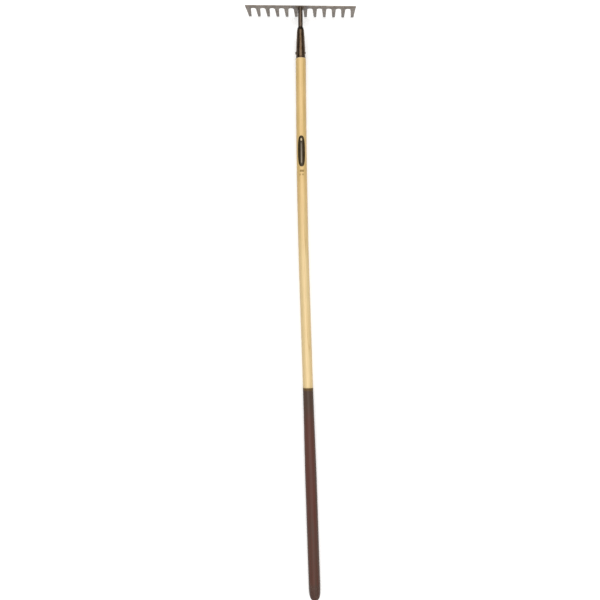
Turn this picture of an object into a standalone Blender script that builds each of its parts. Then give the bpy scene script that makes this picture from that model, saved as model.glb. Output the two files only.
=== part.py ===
"""Level-head garden rake: steel comb head, neck rod, ferrule and ash pole with an end grip.

Metres, +Z up. The rake lies tines down, as it is laid on the ground: the twelve tips and the
end of the grip touch z = 0. X runs along the toothed bar, Y along the pole, with the head at -Y,
and the origin is the bottom centre of the whole rake.
"""

from math import asin, atan2, copysign, cos, hypot, pi, radians, sin, tan

import bmesh
import bpy
from mathutils import Vector

# Head: a flat comb, one pressed plate standing on its tips.
TINE_COUNT = 12
TINE_PITCH = 0.0256
TINE_LENGTH = 0.0483
TINE_ROOT_WIDTH = 0.0120
TINE_TIP_WIDTH = 0.0078
TIP_CORNER = 0.0016
TIP_SWEEP = 0.0025
SWEEP_TOP = 0.045
BAR_LENGTH = 0.2985
BAR_HEIGHT = 0.0132
BAR_CORNER = 0.0022
PLATE = 0.0036
PLATE_EDGE = 0.0006
CENTRE_WEB = 0.0055
BEND_LEVELS = 6
ARC_STEPS = 7

# Neck rod, with the tang that is driven into the pole. Seen from above it leaves the bar a
# little off square, toward -X.
NECK_RADIUS = 0.0063
NECK_LENGTH = 0.055
NECK_RISE = 0.0010
NECK_TURN = radians(1.97)
TANG_DEPTH = 0.062
TANG_SHOULDER = 0.012
TANG_RADIUS = 0.0042
TANG_TIP_RADIUS = 0.0016

# Weld bead round the neck, on the bar's face.
BEAD_LEG = 0.0026

# Ferrule: a tapered tube, crimped at the neck.
FERRULE_LENGTH = 0.0827
FERRULE_MOUTH_RADIUS = 0.0080
FERRULE_CRIMP = 0.0065
FERRULE_SHOULDER_RADIUS = 0.0095
FERRULE_BACK_RADIUS = 0.0128
FERRULE_RIM_RADIUS = 0.0135
FERRULE_RIM = 0.0030
FERRULE_WALL = 0.0013
SPIGOT_LENGTH = 0.0667

# Rivet across the ferrule and the pole.
RIVET_FROM_RIM = 0.0152
RIVET_RADIUS = 0.0025
RIVET_HEAD_RADIUS = 0.0043
RIVET_HEAD_HEIGHT = 0.0019
PEENED_RADIUS = 0.0033
PEENED_HEIGHT = 0.0009

# Pole: a 5 ft ash handle. Seen from above it bends a little more toward -X along one stretch.
POLE_VISIBLE = 1.4573
POLE_RADIUS = 0.0139
POLE_RADIUS_AT_GRIP = 0.0137
POLE_SHOULDER = 0.0024
POLE_LEVELS = 16
BEND_AT = 0.30
BEND_END = 0.76
BEND_TURN = 0.0247

# Grip: a closed sleeve over the pole's end.
GRIP_LENGTH = 0.573
GRIP_RADIUS = 0.01395
GRIP_END_RADIUS = 0.0157
GRIP_RAMP = 0.270
GRIP_DOME = 0.043
GRIP_DOME_POWER = 3.2
GRIP_DOME_STEPS = 8
GRIP_WALL = 0.0010
GRIP_MOUTH_EDGE = 0.0004

# Label: a thin oval wrapped on the pole, blunter than an ellipse.
LABEL_FROM_RIM = 0.2501
LABEL_LENGTH = 0.0825
LABEL_WIDTH = 0.0205
LABEL_POWER = 2.7
LABEL_THICKNESS = 0.0004

GAP = 0.0003
TURN_STEPS = 40

# Places along the pole's axis, measured from the bar's face.
FERRULE_AT = NECK_LENGTH
RIM_AT = FERRULE_AT + FERRULE_LENGTH
RIVET_AT = RIM_AT - RIVET_FROM_RIM
SPIGOT_AT = RIM_AT - SPIGOT_LENGTH
END_AT = RIM_AT + POLE_VISIBLE
GRIP_AT = END_AT - GRIP_LENGTH
DOME_AT = END_AT - GRIP_DOME
LABEL_AT = RIM_AT + LABEL_FROM_RIM

# The pole slopes down from the head until the grip touches the ground, just past its dome's foot.
HEAD_HEIGHT = TINE_LENGTH + BAR_HEIGHT
NECK_Z = HEAD_HEIGHT + NECK_RISE - NECK_RADIUS
TOUCH_ANGLE = pi / 2 * (GRIP_DOME_STEPS - 1) / GRIP_DOME_STEPS
TOUCH_AT = DOME_AT + GRIP_DOME * cos(TOUCH_ANGLE) ** (2 / GRIP_DOME_POWER)
TOUCH_RADIUS = GRIP_END_RADIUS * sin(TOUCH_ANGLE) ** (2 / GRIP_DOME_POWER)
SLOPE = asin(NECK_Z / hypot(TOUCH_AT, TOUCH_RADIUS)) - atan2(TOUCH_RADIUS, TOUCH_AT)
NECK_TILT = hypot(SLOPE, NECK_TURN)
END_BEND = BEND_TURN * (END_AT - (BEND_AT + BEND_END) / 2)
RUN_Y = DOME_AT * cos(SLOPE) * cos(NECK_TURN) - END_BEND * sin(NECK_TURN)
BACK_Y = -(PLATE + RUN_Y + GRIP_DOME) / 2
FACE_Y = BACK_Y + PLATE


def clear_scene():
    """Empty the file of objects."""
    for item in list(bpy.data.objects):
        bpy.data.objects.remove(item, do_unlink=True)


def make_collection(name):
    """A new collection in the scene."""
    collection = bpy.data.collections.new(name)
    bpy.context.scene.collection.children.link(collection)
    return collection


def make_material(name, colour, roughness, metallic):
    """A plain Principled BSDF material."""
    material = bpy.data.materials.new(name)
    material.use_nodes = True
    shader = material.node_tree.nodes["Principled BSDF"]
    shader.inputs["Base Color"].default_value = (*colour, 1.0)
    shader.inputs["Roughness"].default_value = roughness
    shader.inputs["Metallic"].default_value = metallic
    return material


def add_object(name, mesh, collection, material=None, parent=None):
    """Put a mesh in a collection as a named object."""
    item = bpy.data.objects.new(name, mesh)
    collection.objects.link(item)
    item.parent = parent
    if material is not None:
        item.data.materials.append(material)
    return item


def smooth(mesh, angle):
    """Shade a mesh smooth, with its sharp edges kept."""
    mesh.shade_smooth()
    mesh.set_sharp_from_angle(angle=angle)


def evaluated_mesh(item):
    """The mesh an object has after its modifiers."""
    bpy.context.view_layer.update()
    graph = bpy.context.evaluated_depsgraph_get()
    return bpy.data.meshes.new_from_object(item.evaluated_get(graph))


def turned(name, profile, collection, material=None, parent=None, steps=TURN_STEPS):
    """A solid turned about local Z from (radius, height) points that run down its outer side."""
    mesh = bpy.data.meshes.new(name)
    points = [(radius, 0.0, height) for radius, height in profile]
    edges = [(i, i + 1) for i in range(len(points) - 1)]
    if profile[0][0] > 0.0:
        edges.append((len(points) - 1, 0))
    mesh.from_pydata(points, edges, [])
    item = add_object(name, mesh, collection, material, parent)
    screw = item.modifiers.new("turn", "SCREW")
    screw.axis = "Z"
    screw.steps = steps
    screw.render_steps = steps
    screw.use_merge_vertices = True
    screw.merge_threshold = 0.00001
    screw.use_normal_calculate = False
    return item


def bend(item):
    """Apply an object's modifiers, then bend it sideways with the pole."""
    mesh = evaluated_mesh(item)
    item.modifiers.clear()
    item.data = mesh
    length = BEND_END - BEND_AT
    for vertex in mesh.vertices:
        inside = min(max(vertex.co.z - BEND_AT, 0.0), length)
        beyond = max(vertex.co.z - BEND_END, 0.0)
        vertex.co.x -= BEND_TURN * (inside * inside / (2 * length) + beyond)


def cut(item, cutter, operation="DIFFERENCE"):
    """Cut an object with another by an exact Boolean."""
    modifier = item.modifiers.new(cutter.name, "BOOLEAN")
    modifier.operation = operation
    modifier.object = cutter
    modifier.solver = "EXACT"


def as_cutter(item):
    """Mark an object as a cutter."""
    item.hide_render = True
    item.display_type = "WIRE"
    return item


def arc(centre_x, centre_z, radius, start, end, steps=ARC_STEPS):
    """Points on an arc in the XZ plane, from one angle to another, both ends included."""
    angles = [start + (end - start) * i / steps for i in range(steps + 1)]
    return [(centre_x + radius * cos(a), centre_z + radius * sin(a)) for a in angles]


def tine_half_width(height):
    """Half the width of a tine at a height above the tips."""
    share = height / TINE_LENGTH
    return (TINE_TIP_WIDTH + (TINE_ROOT_WIDTH - TINE_TIP_WIDTH) * share) / 2


def arch_points(centre_x, apex_z):
    """The arch between two tines, from its left foot over to its right foot."""
    radius = TINE_PITCH / 2 - tine_half_width(apex_z)
    return arc(centre_x, apex_z - radius, radius, pi, 0.0, 2 * ARC_STEPS)


def tip_points(centre_x, left_x, right_x):
    """A blunt tine end with rounded corners, from its left side to its right side."""
    left = arc(left_x + TIP_CORNER, TIP_CORNER, TIP_CORNER, pi, 1.5 * pi, 3)
    right = arc(right_x - TIP_CORNER, TIP_CORNER, TIP_CORNER, 1.5 * pi, 2.0 * pi, 3)
    return left + right


def comb_outline():
    """The outline of the head in the XZ plane, from the top left corner anticlockwise."""
    half_bar = BAR_LENGTH / 2
    half_tip = TINE_TIP_WIDTH / 2
    first_x = -TINE_PITCH * (TINE_COUNT - 1) / 2
    points = arc(-half_bar + BAR_CORNER, HEAD_HEIGHT - BAR_CORNER, BAR_CORNER, pi / 2, pi, 4)
    for number in range(TINE_COUNT):
        x = first_x + number * TINE_PITCH
        points += tip_points(x, x - half_tip, x + half_tip)
        if number < TINE_COUNT - 1:
            middle_gap = number == TINE_COUNT // 2 - 1
            apex = TINE_LENGTH - (CENTRE_WEB if middle_gap else 0.0)
            points += arch_points(x + TINE_PITCH / 2, apex)
    points += arc(half_bar - BAR_CORNER, HEAD_HEIGHT - BAR_CORNER, BAR_CORNER, 0.0, pi / 2, 4)
    return points


def flat_plate(name, outline, thickness):
    """A flat plate from an outline, as a mesh lying in local XY."""
    curve = bpy.data.curves.new(name, "CURVE")
    curve.dimensions = "2D"
    curve.fill_mode = "BOTH"
    curve.extrude = thickness / 2
    spline = curve.splines.new("POLY")
    spline.points.add(len(outline) - 1)
    for point, (x, y) in zip(spline.points, outline):
        point.co = (x, y, 0.0, 1.0)
    spline.use_cyclic_u = True
    guide = bpy.data.objects.new(name, curve)
    bpy.context.scene.collection.objects.link(guide)
    mesh = evaluated_mesh(guide)
    bpy.data.objects.remove(guide, do_unlink=True)
    bpy.data.curves.remove(curve)
    return mesh


def sweep_tines(mesh):
    """Stand the plate up and curve its tines gently toward the pole."""
    work = bmesh.new()
    work.from_mesh(mesh)
    bmesh.ops.remove_doubles(work, verts=work.verts, dist=0.00001)
    for level in range(1, BEND_LEVELS + 1):
        height = SWEEP_TOP * level / BEND_LEVELS
        geometry = work.verts[:] + work.edges[:] + work.faces[:]
        bmesh.ops.bisect_plane(work, geom=geometry, plane_co=(0, height, 0), plane_no=(0, 1, 0))
    for vertex in work.verts:
        x, height, side = vertex.co
        depth = max(0.0, SWEEP_TOP - height) / SWEEP_TOP
        vertex.co = Vector((x, BACK_Y + PLATE / 2 - side + TIP_SWEEP * depth ** 2, height))
    bmesh.ops.recalc_face_normals(work, faces=work.faces)
    work.to_mesh(mesh)
    work.free()


def build_head(collection, material):
    """The comb: bar and twelve tines in one plate."""
    mesh = flat_plate("rake_head", comb_outline(), PLATE)
    sweep_tines(mesh)
    head = add_object("rake_head", mesh, collection, material)
    bevel = head.modifiers.new("edges", "BEVEL")
    bevel.width = PLATE_EDGE
    bevel.segments = 2
    bevel.limit_method = "ANGLE"
    bevel.angle_limit = pi / 3
    smooth(mesh, pi / 5)
    return head


def build_weld(collection, cutters, material):
    """The fillet bead round the neck, open where the rod stands proud of the bar's top edge."""
    inner = NECK_RADIUS + GAP + (BEAD_LEG + GAP) * tan(NECK_TILT)
    outer = inner + BEAD_LEG
    middle = inner + 0.42 * BEAD_LEG
    profile = [(inner, BEAD_LEG), (middle, 0.42 * BEAD_LEG), (outer, 0.0), (inner, 0.0)]
    weld = turned("neck_weld", profile, collection, material, steps=32)
    weld.location = (0.0, FACE_Y + GAP, NECK_Z)
    weld.rotation_euler = (-pi / 2, 0.0, 0.0)
    bpy.ops.mesh.primitive_cube_add(size=1.0)
    box = as_cutter(bpy.context.object)
    box.name = "bar_top_cutter"
    box.scale = (4 * outer, 4 * outer, 2 * outer)
    box.location = (0.0, FACE_Y, HEAD_HEIGHT - GAP + outer)
    move_to(box, cutters)
    cut(weld, box)
    smooth(weld.data, pi / 4)


def move_to(item, collection):
    """Move an object into one collection."""
    for holder in list(item.users_collection):
        holder.objects.unlink(item)
    collection.objects.link(item)


def tang_radius(place):
    """The tang's radius at a place along the axis, past its shoulder."""
    start = FERRULE_AT + TANG_SHOULDER
    share = (place - start) / (TANG_DEPTH - TANG_SHOULDER)
    return TANG_RADIUS + (TANG_TIP_RADIUS - TANG_RADIUS) * share


def build_neck(collection, material, axis):
    """The neck rod and its tang."""
    tip = FERRULE_AT + TANG_DEPTH
    foot = GAP + NECK_RADIUS * sin(NECK_TILT)
    profile = [
        (0.0, tip),
        (TANG_TIP_RADIUS, tip - 0.001),
        (TANG_RADIUS, FERRULE_AT + TANG_SHOULDER),
        (NECK_RADIUS, FERRULE_AT + TANG_SHOULDER - 0.002),
        (NECK_RADIUS, NECK_LENGTH / 2),
        (NECK_RADIUS, foot + 0.0004),
        (NECK_RADIUS - 0.0004, foot),
        (0.0, foot),
    ]
    neck = turned("neck", profile, collection, material, axis, steps=32)
    smooth(neck.data, pi / 6)


def ferrule_radius(place):
    """The ferrule's outer radius at a place along the axis."""
    share = (place - FERRULE_AT - FERRULE_CRIMP) / (FERRULE_LENGTH - FERRULE_CRIMP - FERRULE_RIM)
    bulge = 0.0006 * sin(pi * min(max(share, 0.0), 1.0))
    return FERRULE_SHOULDER_RADIUS + (FERRULE_BACK_RADIUS - FERRULE_SHOULDER_RADIUS) * share + bulge


def ferrule_outside():
    """The ferrule's outer side from its rim down to its mouth."""
    points = [(FERRULE_RIM_RADIUS - 0.0003, RIM_AT), (FERRULE_RIM_RADIUS, RIM_AT - 0.0004)]
    first = RIM_AT - FERRULE_RIM
    last = FERRULE_AT + FERRULE_CRIMP
    for i in range(7):
        place = first + (last - first) * i / 6
        points.append((ferrule_radius(place), place))
    points.append((FERRULE_MOUTH_RADIUS + 0.0004, FERRULE_AT + 0.0016))
    points.append((FERRULE_MOUTH_RADIUS, FERRULE_AT + 0.0006))
    points.append((FERRULE_MOUTH_RADIUS - 0.0005, FERRULE_AT))
    return points


def build_ferrule(collection, cutters, material, axis):
    """The tapered tube, with the rivet's hole."""
    bore = NECK_RADIUS + GAP
    inside = [(bore, FERRULE_AT), (bore, FERRULE_AT + 0.0030)]
    for i in range(7):
        place = FERRULE_AT + FERRULE_CRIMP + (FERRULE_LENGTH - FERRULE_CRIMP) * i / 6
        inside.append((ferrule_radius(place) - FERRULE_WALL, place))
    ferrule = turned("ferrule", ferrule_outside() + inside, collection, material, axis)
    cut(ferrule, cutters.objects["rivet_hole_cutter"])
    smooth(ferrule.data, pi / 6)


def build_rivet_cutter(cutters, axis):
    """The hole across ferrule and pole."""
    bpy.ops.mesh.primitive_cylinder_add(
        vertices=20, radius=RIVET_RADIUS + GAP, depth=4 * FERRULE_RIM_RADIUS)
    hole = as_cutter(bpy.context.object)
    hole.name = "rivet_hole_cutter"
    hole.parent = axis
    hole.location = (0.0, 0.0, RIVET_AT)
    hole.rotation_euler = (0.0, pi / 2, 0.0)
    move_to(hole, cutters)


def dome_points(radius, height, base, steps, power=2.0):
    """A dome from its top down to its rim at a base height. A power over 2 makes it blunter."""
    angles = [pi / 2 * i / steps for i in range(steps)]
    points = [(radius * sin(a) ** (2 / power), base + height * cos(a) ** (2 / power)) for a in angles]
    return points + [(radius, base)]


def build_rivet(collection, material, axis):
    """The rivet: a domed head at +X, a pin, and a flatter peened end at -X."""
    seat = ferrule_radius(RIVET_AT) + GAP
    top = dome_points(RIVET_HEAD_RADIUS, RIVET_HEAD_HEIGHT, seat, 5)
    bottom = [(radius, -height) for radius, height in dome_points(PEENED_RADIUS, PEENED_HEIGHT, seat, 4)]
    profile = top + [(RIVET_RADIUS, seat), (RIVET_RADIUS, -seat)] + bottom[::-1]
    rivet = turned("ferrule_rivet", profile, collection, material, axis, steps=20)
    rivet.location = (0.0, 0.0, RIVET_AT)
    rivet.rotation_euler = (0.0, pi / 2, 0.0)
    smooth(rivet.data, pi / 5)


def pole_radius(place):
    """The pole's radius on its bare stretch."""
    share = (place - RIM_AT) / (GRIP_AT - RIM_AT)
    return POLE_RADIUS + (POLE_RADIUS_AT_GRIP - POLE_RADIUS) * share


def grip_radius(place):
    """The grip's outer radius, which swells smoothly toward the end, then closes in a dome."""
    share = min(max((place - GRIP_AT) / GRIP_RAMP, 0.0), 1.0)
    swell = share * share * (3 - 2 * share)
    return GRIP_RADIUS + (GRIP_END_RADIUS - GRIP_RADIUS) * swell


def closed_end(inset):
    """The domed end at a depth under the grip's surface, from the axis to the dome's foot."""
    return dome_points(GRIP_END_RADIUS - inset, GRIP_DOME - inset, DOME_AT, GRIP_DOME_STEPS, GRIP_DOME_POWER)


def grip_side(inset, start, steps):
    """The grip's side at a depth under its surface, from the dome's foot back to a start."""
    places = [DOME_AT - 0.012, GRIP_AT + GRIP_RAMP]
    places += [GRIP_AT + GRIP_RAMP * (1 - i / steps) for i in range(1, steps)]
    places.append(start)
    return [(grip_radius(place) - inset, place) for place in places]


def build_grip(collection, material, axis):
    """The closed sleeve over the pole's end."""
    outside = closed_end(0.0) + grip_side(0.0, GRIP_AT + GRIP_MOUTH_EDGE, 8)
    mouth = [(GRIP_RADIUS - GRIP_MOUTH_EDGE, GRIP_AT), (GRIP_RADIUS - GRIP_WALL, GRIP_AT)]
    inside = closed_end(GRIP_WALL) + grip_side(GRIP_WALL, GRIP_AT + GRIP_MOUTH_EDGE, 8)
    grip = turned("grip", outside + mouth + inside[::-1], collection, material, axis)
    bend(grip)
    smooth(grip.data, pi / 5)


def build_pole(collection, cutters, material, axis):
    """The pole: turned down into the ferrule, bored for the tang, rebated under the grip."""
    under_grip = GRIP_WALL + GAP
    wood = closed_end(under_grip) + grip_side(under_grip, GRIP_AT - GAP, 8)
    wood.append((pole_radius(GRIP_AT), GRIP_AT - GAP))
    for i in range(1, POLE_LEVELS + 1):
        place = GRIP_AT + (RIM_AT + POLE_SHOULDER - GRIP_AT) * i / POLE_LEVELS
        wood.append((pole_radius(place), place))
    wood.append((FERRULE_RIM_RADIUS - 0.0002, RIM_AT + GAP))
    spigot = FERRULE_WALL + GAP
    wood.append((ferrule_radius(RIM_AT) - spigot, RIM_AT + GAP))
    for i in range(1, 5):
        place = RIM_AT + (SPIGOT_AT - RIM_AT) * i / 4
        wood.append((ferrule_radius(place) - spigot, place))
    bottom = FERRULE_AT + TANG_DEPTH
    wood.append((tang_radius(SPIGOT_AT) + GAP, SPIGOT_AT))
    wood.append((TANG_TIP_RADIUS + GAP, bottom))
    wood.append((0.0, bottom + 0.001))
    pole = turned("shaft", wood, collection, material, axis)
    cut(pole, cutters.objects["rivet_hole_cutter"])
    bend(pole)
    smooth(pole.data, pi / 6)


def blunt(value):
    """A cosine or sine eased so that the label's outline is blunter than an ellipse."""
    return copysign(abs(value) ** (2 / LABEL_POWER), value)


def build_label(collection, cutters, material, axis):
    """A thin oval skin on the pole's upper side."""
    start = LABEL_AT + LABEL_LENGTH
    end = LABEL_AT - LABEL_LENGTH
    over = GAP + LABEL_THICKNESS
    profile = [
        (pole_radius(start) + over, start),
        (pole_radius(end) + over, end),
        (pole_radius(end) + GAP, end),
        (pole_radius(start) + GAP, start),
    ]
    label = turned("label", profile, collection, material, axis, steps=96)
    steps = 40
    angles = [2 * pi * i / steps for i in range(steps)]
    outline = [(LABEL_WIDTH / 2 * blunt(cos(a)), LABEL_LENGTH / 2 * blunt(sin(a))) for a in angles]
    mesh = flat_plate("label_cutter", outline, 2 * POLE_RADIUS)
    work = bmesh.new()
    work.from_mesh(mesh)
    bmesh.ops.remove_doubles(work, verts=work.verts, dist=0.00001)
    bmesh.ops.recalc_face_normals(work, faces=work.faces)
    work.to_mesh(mesh)
    work.free()
    oval = as_cutter(add_object("label_cutter", mesh, cutters, parent=axis))
    oval.location = (0.0, -POLE_RADIUS, LABEL_AT)
    oval.rotation_euler = (pi / 2, 0.0, 0.0)
    cut(label, oval, "INTERSECT")
    bend(label)
    smooth(label.data, pi / 5)


def build_rake():
    """Build every part of the rake."""
    clear_scene()
    parts = make_collection("garden_rake")
    cutters = make_collection("cutters")
    steel = make_material("head_steel", (0.105, 0.085, 0.065), 0.42, 0.85)
    socket_steel = make_material("ferrule_steel", (0.190, 0.135, 0.085), 0.35, 0.90)
    rivet_steel = make_material("rivet_steel", (0.160, 0.120, 0.085), 0.40, 0.90)
    ash = make_material("ash_wood", (0.780, 0.560, 0.300), 0.50, 0.0)
    sleeve = make_material("grip_brown", (0.085, 0.050, 0.038), 0.42, 0.0)
    print_film = make_material("label_film", (0.030, 0.020, 0.012), 0.30, 0.0)

    axis = bpy.data.objects.new("pole_axis", None)
    parts.objects.link(axis)
    axis.location = (0.0, FACE_Y, NECK_Z)
    axis.rotation_euler = (-(pi / 2 + SLOPE), 0.0, NECK_TURN)

    build_rivet_cutter(cutters, axis)
    build_head(parts, steel)
    build_weld(parts, cutters, steel)
    build_neck(parts, steel, axis)
    build_ferrule(parts, cutters, socket_steel, axis)
    build_rivet(parts, rivet_steel, axis)
    build_pole(parts, cutters, ash, axis)
    build_grip(parts, sleeve, axis)
    build_label(parts, cutters, print_film, axis)


build_rake()
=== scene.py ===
"""Looks of the garden rake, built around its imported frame, in metres.

The rake lies tines down along Y, with its head at -Y. Pieces of the pole are built in the pole's own
frame: local Z runs from the bar's face along the neck, local X is across it, and local -Y is up.
The pole starts along local Z and bends a little toward local -X.
"""
from math import copysign, cos, exp, hypot, pi, radians, sin

import bmesh
import bpy
import numpy as np
from mathutils import Matrix, Vector, noise


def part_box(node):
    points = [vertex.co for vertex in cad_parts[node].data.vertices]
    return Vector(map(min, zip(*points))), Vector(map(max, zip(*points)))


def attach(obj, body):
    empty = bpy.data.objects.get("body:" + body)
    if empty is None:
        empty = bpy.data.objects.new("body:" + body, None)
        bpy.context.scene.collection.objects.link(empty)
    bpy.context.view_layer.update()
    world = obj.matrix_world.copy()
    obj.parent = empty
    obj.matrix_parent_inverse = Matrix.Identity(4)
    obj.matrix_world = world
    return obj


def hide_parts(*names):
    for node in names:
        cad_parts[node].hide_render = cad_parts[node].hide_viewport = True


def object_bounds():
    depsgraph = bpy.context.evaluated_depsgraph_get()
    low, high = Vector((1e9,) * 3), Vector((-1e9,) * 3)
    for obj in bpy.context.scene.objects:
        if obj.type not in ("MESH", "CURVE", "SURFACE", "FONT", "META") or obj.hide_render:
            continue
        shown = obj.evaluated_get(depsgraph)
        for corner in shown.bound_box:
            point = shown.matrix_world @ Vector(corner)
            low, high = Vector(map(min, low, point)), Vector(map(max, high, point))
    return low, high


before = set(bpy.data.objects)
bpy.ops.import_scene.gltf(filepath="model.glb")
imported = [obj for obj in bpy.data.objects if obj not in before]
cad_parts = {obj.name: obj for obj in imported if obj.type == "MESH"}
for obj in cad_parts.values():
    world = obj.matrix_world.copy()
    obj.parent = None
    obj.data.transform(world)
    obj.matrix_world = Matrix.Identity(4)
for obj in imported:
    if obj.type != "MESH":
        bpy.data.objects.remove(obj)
cad_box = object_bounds()

# Camera and light.
CAMERA_PLACE = (-0.0916, 0.0281, 1.9173)
CAMERA_TURN = (1.202, 2.160, 181.548)
CAMERA_LENS = 42.0
KEY_ENERGY = 2.95
KEY_ANGLE = 58.0
KEY_TURN = (2.5, -1.5, 0.0)
KEY_COLOUR = (1.0, 0.985, 0.96)
SKY = (0.20, 0.203, 0.21)
BACKDROP = (1.0, 1.0, 1.0)
FLOOR_GLOW = 0.28
FLOOR_RADIUS = 60.0
FLOOR_DROP = 0.0002

# Fit of one piece in another.
GAP = 0.0003

# Head.
TINE_COUNT = 12
TINE_PITCH = 0.0256
TINE_LENGTH = 0.0483
TINE_ROOT_WIDTH = 0.0120
TINE_TIP_WIDTH = 0.0078
TIP_CORNER = 0.0020
TIP_SWEEP = 0.0025
SWEEP_TOP = 0.045
TIP_THINNING = 0.16
BAR_CORNER = 0.0022
PLATE = 0.0036
CENTRE_WEB = 0.0055
HEAD_VOXEL = 0.00060
EDGE_ROUNDING = 0.0007
FORGING_DEPTH = 0.00016

# Neck and weld.
NECK_RADIUS = 0.0063
NECK_END = 0.014
NECK_INSET = 0.0012
BEAD_LEG = 0.0026
BEAD_HALF_SPAN = radians(127.0)
BEAD_RIPPLES = 23
BEAD_STEPS = 260
BEAD_SECTION = 9
BEAD_ROOT = 0.0006
BEAD_OVERLAP = 0.0008

# Ferrule and rivet.
FERRULE_CRIMP = 0.0065
FERRULE_SHOULDER_RADIUS = 0.0095
FERRULE_BACK_RADIUS = 0.0128
FERRULE_RIM_RADIUS = 0.0135
FERRULE_RIM = 0.0030
FERRULE_WALL = 0.0013
SEAM_DEPTH = 0.00042
SEAM_WIDTH = 0.00055
SEAM_ANGLE = radians(97.0)
SEAM_FAN = (0.6, 1.1, 1.7, 2.4, 3.2, 4.2)
FERRULE_BULGE = 0.0006
RIVET_FROM_RIM = 0.0152
RIVET_RADIUS = 0.0025
RIVET_HEAD_RADIUS = 0.0043
RIVET_HEAD_HEIGHT = 0.0019
PEENED_RADIUS = 0.0033
PEENED_HEIGHT = 0.0009
RIVET_SINK = 0.0007

# Pole, grip and label.
POLE_RADIUS = 0.0139
POLE_RADIUS_AT_GRIP = 0.0137
POLE_SHOULDER = 0.0024
BEND_AT = 0.30
BEND_END = 0.76
BEND_TURN = 0.0247
GRIP_RADIUS = 0.01395
GRIP_END_RADIUS = 0.0157
GRIP_RAMP = 0.270
GRIP_DOME = 0.043
GRIP_DOME_POWER = 3.2
GRIP_WALL = 0.0010
GRIP_LIP = 0.0016
GRIP_LEVELS = 220
LABEL_WIDTH = 0.0205
LABEL_LENGTH = 0.0825
LABEL_POWER = 2.7
LABEL_THICKNESS = 0.0007
LABEL_ROOT = 0.0002

# Places of what is drawn on the pole and the label, in the pole's frame.
PALE_START = 0.42
PALE_FULL = 0.74
# Where the painted highlight along the top of the pole fades out.
TOP_HIGHLIGHT_EDGE = -0.0119
MARK_FROM_LABEL = 0.0085
MARK_LENGTH = 0.0058
MARK_HALF_WIDTH = 0.0054
SPOT_AT = -0.0305
SPOT_HALF_WIDTH = 0.0021
SPOT_HALF_LENGTH = 0.0036

# Sides of round pieces.
FINE_SIDES = 112
POLE_SIDES = 72
ROD_SIDES = 64
RIVET_SIDES = 40


def pole_frame():
    """The pole's own frame. The neck's vertices lie evenly round its axis, so they give the line."""
    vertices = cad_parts["neck"].data.vertices
    points = np.unique(np.round([v.co[:] for v in vertices], 7), axis=0)
    centre = points.mean(0)
    along = np.linalg.svd(points - centre, full_matrices=False)[2][0]
    along = Vector(along if along[1] > 0 else -along)
    face_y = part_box("rake_head")[0].y + PLATE
    origin = Vector(centre) + along * ((face_y - centre[1]) / along.y)
    across = along.cross(Vector((0, 0, 1))).normalized()
    axes = Matrix((across, along.cross(across), along)).transposed()
    return Matrix.Translation(origin) @ axes.to_4x4()


def span(node):
    """Where a CAD node starts and ends along the pole."""
    inverse = POLE.inverted()
    places = [(inverse @ v.co).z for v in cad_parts[node].data.vertices]
    return min(places), max(places)


POLE = pole_frame()
FERRULE_AT, RIM_AT = span("ferrule")
GRIP_AT, END_AT = span("grip")
LABEL_AT = sum(span("label")) / 2
RIVET_AT = RIM_AT - RIVET_FROM_RIM
DOME_AT = END_AT - GRIP_DOME
HEAD_LOW, HEAD_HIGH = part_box("rake_head")
HEAD_HEIGHT = HEAD_HIGH.z
FACE_Y = HEAD_LOW.y + PLATE
NECK_Z = POLE.translation.z


# Meshes.

def even_angles(steps, extra=()):
    """Angles all round, with extra ones where a shape needs them."""
    return sorted([2 * pi * i / steps for i in range(steps)] + [a % (2 * pi) for a in extra])


def flowing(points, step):
    """A smooth line through points, sampled about every step."""
    points = [Vector(p) for p in points]
    padded = [2 * points[0] - points[1], *points, 2 * points[-1] - points[-2]]
    line = []
    for before, start, end, after in zip(padded, padded[1:], padded[2:], padded[3:]):
        count = max(2, round((end - start).length / step))
        for i in range(count):
            t = i / count
            line.append(0.5 * (2 * start + (end - before) * t
                               + (2 * before - 5 * start + 4 * end - after) * t ** 2
                               + (3 * start - before - 3 * end + after) * t ** 3))
    return [*line, points[-1]]


def straight(points, step):
    """A broken line through points, with points added about every step."""
    line = []
    for start, end in zip(points, points[1:]):
        start, end = Vector(start), Vector(end)
        count = max(1, round((end - start).length / step))
        line += [start.lerp(end, i / count) for i in range(count)]
    return [*line, Vector(points[-1])]


def join_loops(work, first, second):
    """Faces between two loops of vertices, either of which may be a single point."""
    count = max(len(first), len(second))
    for i in range(count):
        j = (i + 1) % count
        corners = []
        for vertex in (first[i % len(first)], first[j % len(first)],
                       second[j % len(second)], second[i % len(second)]):
            if vertex not in corners:
                corners.append(vertex)
        work.faces.new(corners)


def finished_mesh(work, name):
    """A smooth-shaded mesh with outward normals."""
    bmesh.ops.recalc_face_normals(work, faces=work.faces)
    mesh = bpy.data.meshes.new(name)
    work.to_mesh(mesh)
    work.free()
    mesh.shade_smooth()
    return mesh


def turned(name, profile, angles, relief=None, closed=False):
    """A mesh turned about local Z from (radius, place) points. Radius 0 makes a single point.

    relief(place, angle) is added to the radius. closed joins the profile's two ends, for a tube.
    """
    work = bmesh.new()
    loops = []
    for radius, place in profile:
        if radius < 0.00001:
            loops.append([work.verts.new((0, 0, place))])
            continue
        loop = []
        for angle in angles:
            reach = radius + (relief(place, angle) if relief else 0.0)
            loop.append(work.verts.new((reach * cos(angle), reach * sin(angle), place)))
        loops.append(loop)
    for first, second in zip(loops, loops[1:] + loops[:1] if closed else loops[1:]):
        join_loops(work, first, second)
    return finished_mesh(work, name)


def unevenness(place, angle, round_scale, along_scale, seed):
    """Smooth noise from -1 to 1 over the surface of something round."""
    where = (round_scale * cos(angle) + seed, round_scale * sin(angle), along_scale * place)
    return noise.noise(Vector(where))


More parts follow.
